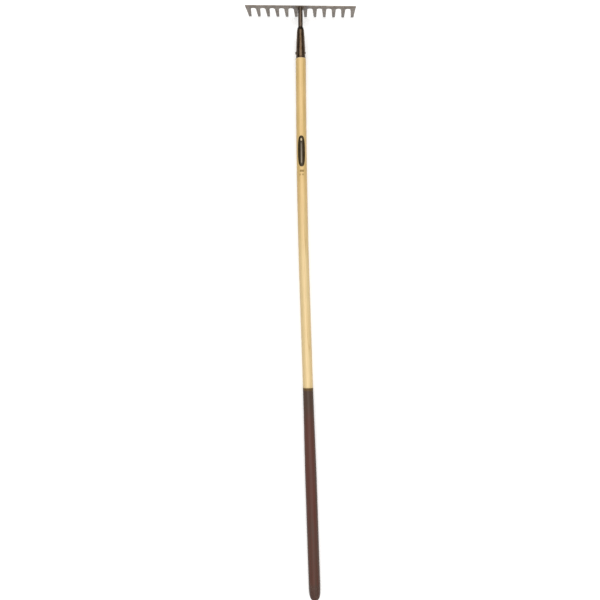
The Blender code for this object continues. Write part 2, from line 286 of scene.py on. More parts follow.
def bend(mesh):
    """Bend a mesh sideways with the pole, keeping its straight coordinates for its material."""
    kept = mesh.attributes.new("straight", "FLOAT_VECTOR", "POINT").data
    length = BEND_END - BEND_AT
    for vertex, straight_place in zip(mesh.vertices, kept):
        straight_place.vector = vertex.co
        inside = min(max(vertex.co.z - BEND_AT, 0.0), length)
        beyond = max(vertex.co.z - BEND_END, 0.0)
        vertex.co.x -= BEND_TURN * (inside * inside / (2 * length) + beyond)
    mesh.update()
    return mesh


def add_piece(name, mesh, material, node, matrix=POLE):
    """Show a finished mesh in place of a CAD node."""
    piece = bpy.data.objects.new(name, mesh)
    bpy.context.scene.collection.objects.link(piece)
    piece.matrix_world = matrix
    mesh.materials.append(material)
    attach(piece, "root")
    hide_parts(node)


def applied(piece):
    """The mesh that an object has after its modifiers."""
    bpy.context.view_layer.update()
    graph = bpy.context.evaluated_depsgraph_get()
    return bpy.data.meshes.new_from_object(piece.evaluated_get(graph))


# Node materials.

class Finish:
    """One Principled material and short calls for its nodes."""

    def __init__(self, name, bent=False, **constants):
        self.material = bpy.data.materials.new(name)
        self.material.use_nodes = True
        self.nodes = self.material.node_tree.nodes
        self.links = self.material.node_tree.links
        self.shader = self.nodes["Principled BSDF"]
        for socket, value in constants.items():
            self.shader.inputs[socket.replace("_", " ")].default_value = value
        self.place = self.nodes.new("ShaderNodeTexCoord").outputs["Object"]
        if bent:
            self.place = self.node("Attribute", {}, attribute_name="straight").outputs["Vector"]

    def put(self, socket, value):
        """Link or set a node's input."""
        if isinstance(value, bpy.types.NodeSocket):
            self.links.new(value, socket)
        else:
            socket.default_value = value

    def node(self, kind, inputs, **settings):
        """A node with its settings, and inputs by name or number."""
        node = self.nodes.new("ShaderNode" + kind)
        for key, value in settings.items():
            setattr(node, key, value)
        for key, value in inputs.items():
            self.put(node.inputs[key], value)
        return node

    def stretched(self, scale, offset=(0, 0, 0)):
        """Object coordinates, scaled per axis and moved."""
        inputs = {"Vector": self.place, "Scale": scale, "Location": offset}
        return self.node("Mapping", inputs).outputs["Vector"]

    def noise(self, scale, offset=(0, 0, 0), detail=3.0, roughness=0.5):
        """Noise from 0 to 1, with its own scale on each axis."""
        inputs = {"Vector": self.stretched(scale, offset), "Scale": 1.0, "Detail": detail,
                  "Roughness": roughness}
        return self.node("TexNoise", inputs).outputs["Fac"]

    def math(self, operation, first, second=0.0, clamp=False):
        """One Math node."""
        inputs = {0: first, 1: second}
        return self.node("Math", inputs, operation=operation, use_clamp=clamp).outputs[0]

    def remap(self, value, low, high, to_low=0.0, to_high=1.0):
        """A value eased from one range to another."""
        inputs = {"Value": value, "From Min": low, "From Max": high, "To Min": to_low, "To Max": to_high}
        return self.node("MapRange", inputs, interpolation_type="SMOOTHSTEP").outputs[0]

    def tint(self, share, first, second):
        """One colour over another by a share."""
        node = self.node("Mix", {}, data_type="RGBA")
        self.put(node.inputs["Factor"], share)
        for socket, colour in zip(node.inputs[6:8], (first, second)):
            self.put(socket, colour if isinstance(colour, bpy.types.NodeSocket) else (*colour, 1.0))
        return node.outputs[2]

    def axis(self, number):
        """One object coordinate: 0 is X, 1 is Y, 2 is Z."""
        return self.node("SeparateXYZ", {0: self.place}).outputs[number]

    def near(self, point, radius, softness):
        """1 inside a ball round a point, easing to 0 outside it."""
        inputs = {0: self.place, 1: point}
        reach = self.node("VectorMath", inputs, operation="DISTANCE").outputs["Value"]
        return self.remap(reach, radius, radius + softness, 1.0, 0.0)

    def attribute(self, name):
        """A value painted on the mesh."""
        return self.node("Attribute", {}, attribute_name=name).outputs["Fac"]

    def bump(self, height, distance, strength=1.0, under=None):
        """A bumped normal, on top of another."""
        inputs = {"Height": height, "Distance": distance, "Strength": strength}
        if under is not None:
            inputs["Normal"] = under
        return self.node("Bump", inputs).outputs["Normal"]

    def done(self, colour, roughness, normal):
        """Connect the three that vary, and give the material."""
        self.put(self.shader.inputs["Base Color"], colour)
        self.put(self.shader.inputs["Roughness"], roughness)
        self.put(self.shader.inputs["Normal"], normal)
        return self.material


def ash_wood():
    """Oiled ash: growth rings cut lengthwise, open pores, warm drift along the pole, a burnt mark, and
    painted highlights on its top and on its shoulder at the ferrule.
    """
    f = Finish("ash_wood", bent=True, Metallic=0.0, Specular_IOR_Level=0.42)
    f.shader.inputs["Coat Weight"].default_value = 0.12
    f.shader.inputs["Coat Roughness"].default_value = 0.28
    sway = f.noise((22, 22, 3.2), (3, 1, 0), 2.0)
    wander = f.noise((60, 60, 14), (9, 4, 2), 3.0)
    off = f.node("VectorMath", {0: f.place, 1: (0.031, 0.054, 0.0)}, operation="ADD").outputs[0]
    flat = f.node("VectorMath", {0: off, 1: (1.0, 1.0, 0.012)}, operation="MULTIPLY").outputs[0]
    reach = f.node("VectorMath", {0: flat}, operation="LENGTH").outputs["Value"]
    rings = f.math("ADD", f.math("MULTIPLY", reach, 430.0), f.math("MULTIPLY", sway, 5.5))
    rings = f.math("ADD", rings, f.math("MULTIPLY", wander, 0.9))
    year = f.math("FRACT", rings)
    early = f.remap(year, 0.0, 0.42, 1.0, 0.0)
    late = f.remap(year, 0.80, 1.0)
    streak = f.noise((900, 900, 9), (1, 6, 0), 4.0, 0.65)
    pores = f.remap(f.noise((2300, 2300, 46), (5, 2, 7), 2.0), 0.60, 0.72)
    pores = f.math("MULTIPLY", pores, f.math("ADD", 0.25, f.math("MULTIPLY", early, 0.75)))
    drift = f.noise((16, 16, 11), (2, 8, 5), 3.0)
    flame = f.noise((70, 70, 4.5), (7, 3, 1), 3.0)
    colour = f.tint(f.remap(drift, 0.30, 0.70), (0.560, 0.400, 0.150), (0.640, 0.455, 0.192))
    # Painted highlight: the top of the pole is lightened where the overhead light falls on it.
    painted_top_highlight = f.remap(f.axis(1), -POLE_RADIUS, TOP_HIGHLIGHT_EDGE, 0.85, 0.0)
    colour = f.tint(painted_top_highlight, colour, (0.800, 0.565, 0.235))
    pale = f.remap(f.axis(2), PALE_START, PALE_FULL, 0.0, 0.36)
    colour = f.tint(pale, colour, (0.960, 0.830, 0.530))
    colour = f.tint(f.remap(flame, 0.35, 0.75, 0.0, 0.40), colour, (0.630, 0.410, 0.142))
    colour = f.tint(f.math("MULTIPLY", early, 0.34), colour, (0.500, 0.285, 0.095))
    colour = f.tint(f.math("MULTIPLY", late, 0.20), colour, (0.560, 0.340, 0.130))
    colour = f.tint(f.remap(streak, 0.42, 0.80, 0.0, 0.38), colour, (0.470, 0.270, 0.090))
    colour = f.tint(f.math("MULTIPLY", pores, 0.62), colour, (0.250, 0.130, 0.045))
    # Painted highlight: the shoulder next to the ferrule's rim is lightened as if it catches the light.
    shoulder = f.remap(f.axis(2), RIM_AT + 0.0030, RIM_AT + POLE_SHOULDER - 0.0006)
    colour = f.tint(f.math("MULTIPLY", shoulder, 0.55), colour, (0.860, 0.680, 0.420))
    burn, char = burnt_mark(f)
    colour = f.tint(f.math("MULTIPLY", burn, 0.95), colour, (0.275, 0.160, 0.020))
    colour = f.tint(f.math("MULTIPLY", char, 0.30), colour, (0.150, 0.065, 0.016))
    grime = f.remap(f.noise((120, 120, 30), (4, 4, 4), 5.0, 0.6), 0.60, 0.85, 0.0, 0.16)
    colour = f.tint(grime, colour, (0.300, 0.180, 0.080))
    roughness = f.math("ADD", f.remap(streak, 0.3, 0.8, 0.44, 0.60), f.math("MULTIPLY", pores, 0.2))
    normal = f.bump(f.math("SUBTRACT", streak, f.math("MULTIPLY", pores, 0.9)), 0.00010, 0.7)
    normal = f.bump(f.math("SUBTRACT", 1.0, burn), 0.00018, 0.9, normal)
    return f.done(colour, roughness, normal)


def burnt_mark(f):
    """A plain mark burnt into the pole below the label: a bar, and a fainter bar broken in two."""
    rough = f.noise((1500, 1500, 1500), (2, 2, 2), 2.0)
    ragged = f.math("MULTIPLY", f.math("SUBTRACT", rough, 0.5), 0.0011)
    x, down, place = f.axis(0), f.axis(1), f.axis(2)
    upper = f.math("LESS_THAN", down, -0.004)

    def bar(centre, half, low, high, edge=0.0006):
        across = f.math("ABSOLUTE", f.math("SUBTRACT", f.math("ADD", x, ragged), centre))
        across = f.remap(across, half - edge, half + edge, 1.0, 0.0)
        along = f.math("ADD", place, ragged)
        start = f.remap(along, low - edge, low + edge)
        end = f.remap(along, high - edge, high + edge, 1.0, 0.0)
        return f.math("MULTIPLY", f.math("MULTIPLY", across, f.math("MULTIPLY", start, end)), upper)

    first = LABEL_AT + LABEL_LENGTH / 2 + MARK_FROM_LABEL
    bold = bar(-0.0004, MARK_HALF_WIDTH, first, first + MARK_LENGTH)
    faint = f.math("ADD", bar(0.0043, 0.0016, first + 0.0105, first + 0.0155),
                   bar(-0.0032, 0.0024, first + 0.0104, first + 0.0150))
    both = f.math("ADD", bold, f.math("MULTIPLY", faint, 0.70), clamp=True)
    return both, f.math("MULTIPLY", bold, f.remap(f.noise((700, 700, 700), (8, 1, 3), 3.0), 0.45, 0.70))


def forged_steel():
    """Dark rolled steel: scale, a heat zone round the weld, bright worn tips and edges, soil stains."""
    f = Finish("head_steel", Metallic=0.88)
    scale = f.noise((110, 110, 110), (1, 2, 3), 6.0, 0.62)
    grain = f.noise((1500, 1500, 900), (4, 1, 0), 3.0, 0.6)
    blotch = f.noise((34, 60, 26), (6, 2, 1), 4.0, 0.6)
    colour = f.tint(f.remap(blotch, 0.32, 0.68), (0.180, 0.157, 0.136), (0.250, 0.222, 0.197))
    colour = f.tint(f.remap(scale, 0.50, 0.72, 0.0, 0.55), colour, (0.135, 0.112, 0.090))
    rust = f.remap(f.noise((75, 75, 75), (0, 7, 2), 6.0, 0.65), 0.60, 0.78)
    colour = f.tint(f.math("MULTIPLY", rust, 0.40), colour, (0.190, 0.095, 0.045))
    bar = f.remap(f.axis(2), 0.045, 0.053, 0.0, 0.40)
    colour = f.tint(bar, colour, (0.155, 0.124, 0.102))
    weld = (0.0, FACE_Y, NECK_Z)
    heat = f.near(weld, 0.011, 0.017)
    colour = f.tint(f.math("MULTIPLY", heat, 0.72), colour, (0.105, 0.078, 0.056))
    outer = f.near(weld, 0.019, 0.005)
    blue = f.math("MULTIPLY", outer, f.math("SUBTRACT", 1.0, f.near(weld, 0.014, 0.005)))
    colour = f.tint(f.math("MULTIPLY", blue, 0.35), colour, (0.120, 0.125, 0.170))
    worn = f.remap(f.math("ADD", f.axis(2), f.math("MULTIPLY", blotch, 0.016)), 0.012, 0.026, 1.0, 0.0)
    colour = f.tint(f.math("MULTIPLY", worn, 0.55), colour, (0.222, 0.220, 0.218))
    edge = f.math("MULTIPLY", f.attribute("edge"), f.remap(grain, 0.35, 0.65, 0.35, 1.0))
    colour = f.tint(f.math("MULTIPLY", edge, 0.40), colour, (0.420, 0.395, 0.365))
    soil = f.math("MULTIPLY", f.remap(f.noise((260, 260, 160), (3, 3, 9), 5.0, 0.7), 0.56, 0.70), worn)
    colour = f.tint(f.math("MULTIPLY", soil, 0.35), colour, (0.090, 0.062, 0.040))
    roughness = f.math("ADD", f.remap(scale, 0.3, 0.7, 0.40, 0.56), f.math("MULTIPLY", rust, 0.18))
    scratch = f.noise((2600, 2600, 120), (2, 9, 4), 2.0)
    normal = f.bump(scale, 0.00016, 0.6)
    normal = f.bump(f.math("ADD", grain, f.math("MULTIPLY", scratch, 0.5)), 0.00004, 0.5, normal)
    return f.done(colour, roughness, normal)


def drawn_steel():
    """The neck rod: drawn lines along it, brown oxide, burnt near the weld, and a painted shadow where it
    goes into the ferrule.
    """
    f = Finish("neck_steel", Metallic=0.85)
    lines = f.noise((1900, 1900, 14), (1, 5, 2), 3.0, 0.6)
    scale = f.noise((160, 160, 90), (2, 2, 6), 5.0, 0.65)
    colour = f.tint(f.remap(scale, 0.35, 0.68), (0.090, 0.062, 0.043), (0.128, 0.094, 0.067))
    colour = f.tint(f.remap(lines, 0.40, 0.75, 0.0, 0.45), colour, (0.050, 0.038, 0.026))
    rust = f.remap(f.noise((240, 240, 120), (7, 0, 3), 5.0, 0.7), 0.58, 0.75)
    colour = f.tint(f.math("MULTIPLY", rust, 0.35), colour, (0.085, 0.045, 0.022))
    burnt = f.remap(f.axis(2), 0.006, 0.020, 1.0, 0.0)
    colour = f.tint(f.math("MULTIPLY", burnt, 0.6), colour, (0.055, 0.042, 0.032))
    # Painted shadow: the rod is darkened nearly to black just before it enters the ferrule's mouth.
    mouth = f.remap(f.axis(2), FERRULE_AT - 0.0045, FERRULE_AT - 0.0005)
    colour = f.tint(f.math("MULTIPLY", mouth, 0.85), colour, (0.010, 0.005, 0.002))
    roughness = f.remap(scale, 0.3, 0.7, 0.40, 0.56)
    normal = f.bump(lines, 0.00006, 0.6, f.bump(scale, 0.00010, 0.5))
    return f.done(colour, roughness, normal)


def weld_steel():
    """The bead: grey-brown steel with heat colours and a little spatter."""
    f = Finish("weld_steel", Metallic=0.85)
    scale = f.noise((420, 420, 420), (1, 3, 2), 5.0, 0.65)
    colour = f.tint(f.remap(scale, 0.35, 0.65), (0.125, 0.095, 0.072), (0.215, 0.180, 0.150))
    warm = f.remap(f.noise((150, 150, 150), (5, 3, 8), 3.0), 0.45, 0.70)
    colour = f.tint(f.math("MULTIPLY", warm, 0.45), colour, (0.170, 0.100, 0.055))
    roughness = f.remap(scale, 0.3, 0.7, 0.36, 0.55)
    normal = f.bump(scale, 0.00012, 0.7)
    return f.done(colour, roughness, normal)


def socket_steel():
    """The ferrule: brown lacquered steel, with painted shade in its crimp and in the groove under the rim,
    rubbed on its ridges.
    """
    f = Finish("ferrule_steel", Metallic=0.92)
    lines = f.noise((1300, 1300, 22), (3, 2, 5), 3.0, 0.55)
    cloud = f.noise((130, 130, 60), (8, 8, 1), 4.0, 0.6)
    colour = f.tint(f.remap(cloud, 0.35, 0.68), (0.076, 0.045, 0.022), (0.112, 0.076, 0.048))
    colour = f.tint(f.remap(lines, 0.42, 0.78, 0.0, 0.35), colour, (0.043, 0.026, 0.014))
    place = f.axis(2)
    # Painted shade: the crimped small end is darkened nearly to black, as where it faces away from the light.
    crimp = f.remap(place, FERRULE_AT + 0.0030, FERRULE_AT + 0.0085, 1.0, 0.0)
    colour = f.tint(f.math("MULTIPLY", crimp, 0.85), colour, (0.010, 0.005, 0.002))
    # Painted shade in the groove where the rolled rim meets the taper.
    rim_groove_shade = f.math("ABSOLUTE", f.math("SUBTRACT", place, RIM_AT - 0.0036))
    rim_groove_shade = f.remap(rim_groove_shade, 0.0003, 0.0012, 1.0, 0.0)
    colour = f.tint(f.math("MULTIPLY", rim_groove_shade, 0.7), colour, (0.030, 0.016, 0.008))
    rubbed = f.remap(place, RIM_AT - 0.0026, RIM_AT - 0.0014)
    rubbed = f.math("MULTIPLY", rubbed, f.remap(cloud, 0.35, 0.60))
    colour = f.tint(f.math("MULTIPLY", rubbed, 0.35), colour, (0.150, 0.092, 0.062))
    chips = f.remap(f.noise((620, 620, 300), (1, 9, 9), 4.0, 0.7), 0.68, 0.74)
    colour = f.tint(f.math("MULTIPLY", chips, 0.40), colour, (0.220, 0.185, 0.155))
    rust = f.remap(f.noise((210, 210, 160), (6, 1, 4), 5.0, 0.7), 0.62, 0.76)
    colour = f.tint(f.math("MULTIPLY", rust, 0.30), colour, (0.120, 0.046, 0.020))
    roughness = f.math("ADD", f.remap(cloud, 0.3, 0.7, 0.26, 0.38), f.math("MULTIPLY", crimp, 0.15))
    normal = f.bump(lines, 0.00003, 0.5, f.bump(cloud, 0.00008, 0.35))
    return f.done(colour, roughness, normal)


def rivet_steel():
    """The rivet: hammered steel, its lacquer worn off on top."""
    f = Finish("rivet_steel", Metallic=0.92)
    mottle = f.noise((560, 560, 560), (2, 4, 6), 4.0, 0.6)
    colour = f.tint(f.remap(mottle, 0.35, 0.65), (0.062, 0.042, 0.028), (0.150, 0.112, 0.082))
    roughness = f.remap(mottle, 0.3, 0.7, 0.28, 0.46)
    normal = f.bump(mottle, 0.00012, 0.6)
    return f.done(colour, roughness, normal)


def stained_grip():
    """The grip: dark brown skin, redder past its mouth, with long streaks, rubbed toward its end."""
    f = Finish("grip_brown", bent=True, Metallic=0.0, Specular_IOR_Level=0.14)
    long_streak = f.noise((190, 190, 2.6), (3, 9, 1), 3.0, 0.6)
    fine_streak = f.noise((850, 850, 10), (6, 4, 2), 4.0, 0.65)
    cloud = f.noise((40, 40, 9), (1, 7, 3), 3.0)
    place = f.axis(2)
    red = f.remap(long_streak, 0.34, 0.56)
    red = f.math("MULTIPLY", red, f.remap(place, GRIP_AT + 0.03, GRIP_AT + 0.10))
    colour = f.tint(red, (0.080, 0.050, 0.036), (0.112, 0.043, 0.033))
    colour = f.tint(f.remap(cloud, 0.40, 0.70, 0.0, 0.5), colour, (0.088, 0.052, 0.042))
    colour = f.tint(f.remap(fine_streak, 0.45, 0.78, 0.0, 0.55), colour, (0.052, 0.028, 0.018))
    light = f.remap(f.noise((1100, 1100, 12), (0, 3, 8), 3.0, 0.6), 0.62, 0.80, 0.0, 0.45)
    colour = f.tint(light, colour, (0.160, 0.082, 0.058))
    mouth = f.remap(place, GRIP_AT + 0.0050, GRIP_AT + 0.0085, 1.0, 0.0)
    colour = f.tint(f.math("MULTIPLY", mouth, 0.75), colour, (0.135, 0.078, 0.024))
    end = f.remap(place, DOME_AT - 0.010, DOME_AT + 0.004)
    colour = f.tint(f.math("MULTIPLY", end, 0.5), colour, (0.062, 0.042, 0.034))
    scuff = f.math("MULTIPLY", f.remap(f.noise((260, 260, 200), (5, 5, 1), 5.0, 0.7), 0.52, 0.68), end)
    colour = f.tint(f.math("MULTIPLY", scuff, 0.5), colour, (0.190, 0.130, 0.105))
    roughness = f.remap(fine_streak, 0.3, 0.75, 0.38, 0.52)
    normal = f.bump(fine_streak, 0.00008, 0.6, f.bump(long_streak, 0.00020, 0.5))
    return f.done(colour, roughness, normal)


def label_film():
    """The label: glossy dark brown film with a pale spot at its head end and a soft plain stripe."""
    f = Finish("label_film", bent=True, Metallic=0.0, Specular_IOR_Level=0.16)
    mottle = f.noise((260, 260, 60), (2, 5, 3), 4.0, 0.6)
    colour = f.tint(f.remap(mottle, 0.35, 0.70), (0.028, 0.018, 0.003), (0.042, 0.027, 0.008))
    x = f.axis(0)
    along = f.math("SUBTRACT", f.axis(2), LABEL_AT)
    stripe = f.remap(f.math("ABSOLUTE", x), 0.0010, 0.0022, 1.0, 0.0)
    ends = f.math("MULTIPLY", f.remap(along, -0.026, -0.017), f.remap(along, 0.028, 0.035, 1.0, 0.0))
    stripe = f.math("MULTIPLY", stripe, ends)
    fade = f.remap(along, -0.030, 0.034, 0.45, 0.85)
    colour = f.tint(f.math("MULTIPLY", stripe, fade), colour, (0.320, 0.260, 0.185))
    spot_x = f.math("DIVIDE", x, SPOT_HALF_WIDTH)
    spot_y = f.math("DIVIDE", f.math("SUBTRACT", along, SPOT_AT), SPOT_HALF_LENGTH)
    spot = f.math("ADD", f.math("POWER", f.math("ABSOLUTE", spot_x), 2.0),
                  f.math("POWER", f.math("ABSOLUTE", spot_y), 2.0))
    spot = f.remap(spot, 0.75, 1.25, 1.0, 0.0)
    colour = f.tint(spot, colour, (0.560, 0.440, 0.270))
    scuff = f.remap(f.noise((900, 900, 160), (9, 9, 2), 5.0, 0.7), 0.62, 0.74, 0.0, 0.25)
    colour = f.tint(scuff, colour, (0.150, 0.110, 0.080))
    roughness = f.remap(mottle, 0.3, 0.7, 0.24, 0.38)
    normal = f.bump(f.noise((350, 350, 350), (1, 1, 1), 3.0), 0.00006, 0.4)
    return f.done(colour, roughness, normal)


# Pieces.

def ferrule_radius(place):
    """The ferrule's outer radius along its taper."""
    share = (place - FERRULE_AT - FERRULE_CRIMP) / (RIM_AT - FERRULE_AT - FERRULE_CRIMP - FERRULE_RIM)
    bulge = FERRULE_BULGE * sin(pi * min(max(share, 0.0), 1.0))
    return FERRULE_SHOULDER_RADIUS + (FERRULE_BACK_RADIUS - FERRULE_SHOULDER_RADIUS) * share + bulge


def pole_radius(place):
    """The pole's radius on its bare stretch."""
    share = (place - RIM_AT) / (GRIP_AT - RIM_AT)
    return POLE_RADIUS + (POLE_RADIUS_AT_GRIP - POLE_RADIUS) * share


def grip_radius(place):
    """The grip's outer radius along its side."""
    share = min(max((place - GRIP_AT) / GRIP_RAMP, 0.0), 1.0)
    return GRIP_RADIUS + (GRIP_END_RADIUS - GRIP_RADIUS) * share * share * (3 - 2 * share)


def dome(radius, height, base, steps, power=2.0):
    """(radius, place) points of a dome, from its top to its foot. A power over 2 makes it blunter."""
    angles = [pi / 2 * i / steps for i in range(steps)]
    points = [(radius * sin(a) ** (2 / power), base + height * cos(a) ** (2 / power)) for a in angles]
    return points + [(radius, base)]


def arc(centre_x, centre_z, radius, start, end, steps):
    """Points on an arc, from one angle to another."""
    angles = [start + (end - start) * i / steps for i in range(steps + 1)]
    return [(centre_x + radius * cos(a), centre_z + radius * sin(a)) for a in angles]


def comb_outline():
    """The head's outline in X and Z, from its top left corner down and round."""
    half_bar = HEAD_HIGH.x
    points = arc(-half_bar + BAR_CORNER, HEAD_HEIGHT - BAR_CORNER, BAR_CORNER, pi / 2, pi, 6)
    for number in range(TINE_COUNT):
        x = TINE_PITCH * (number - (TINE_COUNT - 1) / 2)
        tip = TINE_TIP_WIDTH / 2 - TIP_CORNER
        points += arc(x - tip, TIP_CORNER, TIP_CORNER, pi, 1.5 * pi, 5)
        points += arc(x + tip, TIP_CORNER, TIP_CORNER, 1.5 * pi, 2 * pi, 5)
        if number < TINE_COUNT - 1:
            apex = TINE_LENGTH - (CENTRE_WEB if number == TINE_COUNT // 2 - 1 else 0.0)
            root = TINE_TIP_WIDTH + (TINE_ROOT_WIDTH - TINE_TIP_WIDTH) * apex / TINE_LENGTH
            radius = (TINE_PITCH - root) / 2
            points += arc(x + TINE_PITCH / 2, apex - radius, radius, pi, 0.0, 24)
    points += arc(half_bar - BAR_CORNER, HEAD_HEIGHT - BAR_CORNER, BAR_CORNER, 0.0, pi / 2, 6)
    return points


def comb_block():
    """The comb as a flat plate, remeshed to small even faces with softened edges."""
    work = bmesh.new()
    face = work.faces.new([work.verts.new((x, -PLATE / 2, z)) for x, z in comb_outline()])
    grown = bmesh.ops.extrude_face_region(work, geom=[face])["geom"]
    far_side = [item for item in grown if isinstance(item, bmesh.types.BMVert)]
    bmesh.ops.translate(work, vec=(0, PLATE, 0), verts=far_side)
    block = bpy.data.objects.new("comb_block", finished_mesh(work, "comb_block"))
    bpy.context.scene.collection.objects.link(block)
    rounding = block.modifiers.new("rounding", "BEVEL")
    rounding.width = EDGE_ROUNDING
    rounding.segments = 3
    rounding.use_clamp_overlap = False
    remesh = block.modifiers.new("remesh", "REMESH")
    remesh.mode = "VOXEL"
    remesh.voxel_size = HEAD_VOXEL
    ease = block.modifiers.new("ease", "SMOOTH")
    ease.factor = 0.5
    ease.iterations = 3
    mesh = applied(block)
    bpy.data.objects.remove(block)
    return mesh


def head_mesh():
    """The comb with its tines thinned and swept, forged unevenness, and its edges marked for wear."""
    mesh = comb_block()
    points = np.empty(len(mesh.vertices) * 3)
    mesh.vertices.foreach_get("co", points)
    points = points.reshape(-1, 3)
    normals = np.array([v.normal[:] for v in mesh.vertices])
    middle = (HEAD_LOW.y + FACE_Y) / 2
    for i, (x, side, height) in enumerate(points):
        depth = max(0.0, SWEEP_TOP - height) / SWEEP_TOP
        number = round(x / TINE_PITCH + (TINE_COUNT - 1) / 2)
        lean = 0.0005 * noise.noise(Vector((number * 3.7, 0.5, 1.2))) * depth
        dent = noise.noise(Vector((85 * x, 5.0 if side > 0 else 9.0, 70 * height)))
        dent += 0.5 * noise.noise(Vector((240 * x, 2.0 if side > 0 else 7.0, 210 * height)))
        push = FORGING_DEPTH * (dent - 0.9)
        swept = middle + side * (1 - TIP_THINNING * depth) + TIP_SWEEP * depth ** 2
        points[i] = (x + lean + 0.5 * push * normals[i][0], swept + push * normals[i][1],
                     max(height + 0.5 * push * normals[i][2], 0.0))
    mesh.vertices.foreach_set("co", points.ravel())
    edge = mesh.attributes.new("edge", "FLOAT", "POINT")
    edge.data.foreach_set("value", np.exp(-((np.abs(normals[:, 1]) - 0.72) / 0.2) ** 2))
    mesh.update()
    mesh.shade_smooth()
    return mesh


def neck_mesh():
    """The rod from inside the bar to inside the ferrule, a little uneven from drawing."""
    end = FERRULE_AT + NECK_END
    profile = straight([(0, -NECK_INSET), (NECK_RADIUS, -NECK_INSET), (NECK_RADIUS, end - 0.002),
                        (NECK_RADIUS - 0.002, end), (0, end)], 0.0008)

    def relief(place, angle):
        return 0.00007 * unevenness(place, angle, 1.6, 90, 4.0) - 0.00007
    return turned("neck", profile, even_angles(ROD_SIDES), relief)


def weld_mesh():
    """The rippled fillet round the rod, open at the bar's top edge and fading out at both ends."""
    work = bmesh.new()
    section = [radians(90 * i / BEAD_SECTION) for i in range(BEAD_SECTION + 1)]
    loops = []
    for step in range(BEAD_STEPS + 1):
        share = 2 * step / BEAD_STEPS - 1
        angle = -pi / 2 + BEAD_HALF_SPAN * share
        fade = min(1.0, (1 - abs(share)) / 0.05) ** 0.5
        loop = []
        for turn in section:
            phase = BEAD_RIPPLES * 2 * pi * (step / BEAD_STEPS + 0.012 * cos(2 * turn))
            lump = noise.noise(Vector((3 * cos(angle), 3 * sin(angle), 1.0)))
            swell = 1 + 0.10 * sin(phase) + 0.16 * lump
            leg = BEAD_LEG * 0.94 * (0.35 + 0.65 * fade) * swell
            out, proud = leg * sin(turn) ** 1.3, leg * cos(turn) ** 1.3
            loop.append((NECK_RADIUS + out, proud))
        under = NECK_RADIUS - BEAD_OVERLAP
        loop += [(loop[-1][0], -BEAD_ROOT), (under, -BEAD_ROOT), (under, loop[0][1])]
        loops.append([work.verts.new((r * cos(angle), y, r * sin(angle))) for r, y in loop])
    for first, second in zip(loops, loops[1:]):
        join_loops(work, first, second)
    for loop in (loops[0], loops[-1]):
        work.faces.new(loop)
    return finished_mesh(work, "neck_weld")


def ferrule_mesh():
    """The tapered tube: lipped and crimped mouth, rolled rim, seam underneath, dimples at the rivet."""
    first, last = FERRULE_AT, RIM_AT
    mouth = [(0.0074, first), (0.0080, first + 0.0003), (0.0083, first + 0.0011),
             (0.0080, first + 0.0019), (0.0083, first + 0.0030), (0.0091, first + 0.0050)]
    run = last - first - FERRULE_CRIMP - 0.0048
    places = [first + FERRULE_CRIMP + run * i / 12 for i in range(13)]
    taper = [(ferrule_radius(place), place) for place in places]
    edge = FERRULE_RIM_RADIUS
    rim = [(edge - 0.00085, last - 0.0037), (edge - 0.00040, last - 0.0027), (edge, last - 0.0016),
           (edge - 0.00008, last - 0.0006), (edge - 0.00050, last - 0.0001), (edge - 0.00110, last)]
    outside = flowing(mouth + taper + rim, 0.0008)
    inside = [(ferrule_radius(place) - FERRULE_WALL, place)
              for place in (last - 0.0012, last - 0.02, last - 0.04, first + 0.012)]
    inside += [(0.0074, first + 0.0070), (0.0068, first + 0.0030), (0.0067, first + 0.0006)]
    fan = [-turn for turn in SEAM_FAN[::-1]] + [0, *SEAM_FAN]
    fine = [SEAM_ANGLE + radians(turn) for turn in fan]

    def relief(place, angle):
        lift = 0.00011 * unevenness(place, angle, 1.3, 75, 8.0) - 0.00005
        arc_from_seam = (angle - SEAM_ANGLE) * ferrule_radius(place)
        lift -= SEAM_DEPTH * exp(-(arc_from_seam / SEAM_WIDTH) ** 2)
        side = min(angle, 2 * pi - angle, abs(angle - pi)) * FERRULE_BACK_RADIUS
        return lift - 0.00028 * exp(-(hypot(side, place - RIVET_AT) / 0.0058) ** 4)
    profile = [*outside, *map(Vector, inside)]
    return turned("ferrule", profile, even_angles(FINE_SIDES, fine), relief, closed=True)


def rivet_mesh():
    """The rivet about its own Z: a domed head, a flange, a shank and a hammered end."""
    seat = ferrule_radius(RIVET_AT) - RIVET_SINK
    head = dome(RIVET_HEAD_RADIUS - 0.0003, RIVET_HEAD_HEIGHT, seat + 0.0009, 10)
    head += [(RIVET_HEAD_RADIUS, seat + 0.0005), (RIVET_HEAD_RADIUS - 0.0002, seat), (RIVET_RADIUS, seat)]
    tail = [(RIVET_RADIUS, -seat), (PEENED_RADIUS, -seat)]
    tail += [(radius, -place) for radius, place in dome(PEENED_RADIUS, PEENED_HEIGHT, seat + 0.0007, 6)[::-1]]

    def relief(place, angle):
        if abs(place) < seat:
            return 0.0
        return (0.00010 if place > 0 else 0.00026) * unevenness(place, angle, 2.4, 500, 6.0)
    return turned("ferrule_rivet", head + tail, even_angles(RIVET_SIDES), relief)


